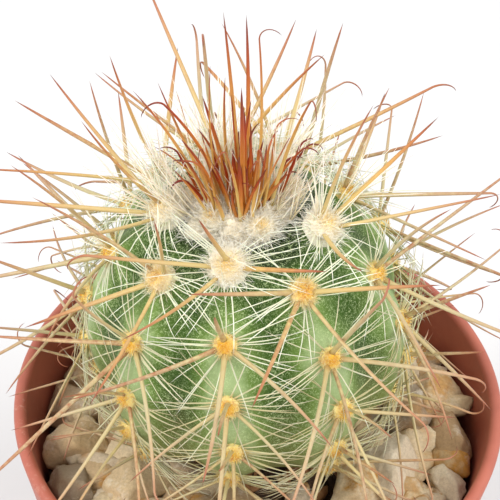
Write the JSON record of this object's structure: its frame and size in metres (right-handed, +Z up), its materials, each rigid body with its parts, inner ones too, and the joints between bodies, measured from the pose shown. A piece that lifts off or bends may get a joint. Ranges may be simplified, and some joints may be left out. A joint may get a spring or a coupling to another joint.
{
  "type": "potted globular cactus",
  "caption": "Small globular cactus with long hooked spines and a red-brown crown tuft, in a round plastic nursery pot topped with crushed stone.",
  "frame": {"origin": "centre of the pot's flat underside", "axes": "+Z up along the pot's axis, -Y towards the front that the picture shows, +X to the right of that view"},
  "size_m": [0.0708, 0.0693, 0.1055],
  "materials": {
    "pot": "satin moulded plastic, terracotta red",
    "soil": "dark crumbly potting soil",
    "gravel": "dry crushed stone, cream to tan and grey",
    "stem": "waxy green skin with pale speckles, golden felt and cream spines",
    "crown": "red-brown young spines in white wool"
  },
  "bodies": {
    "root": {"pot": "pot", "soil": "soil", "gravel": "gravel", "stem": "stem", "crown": "crown"}
  },
  "joints": []
}
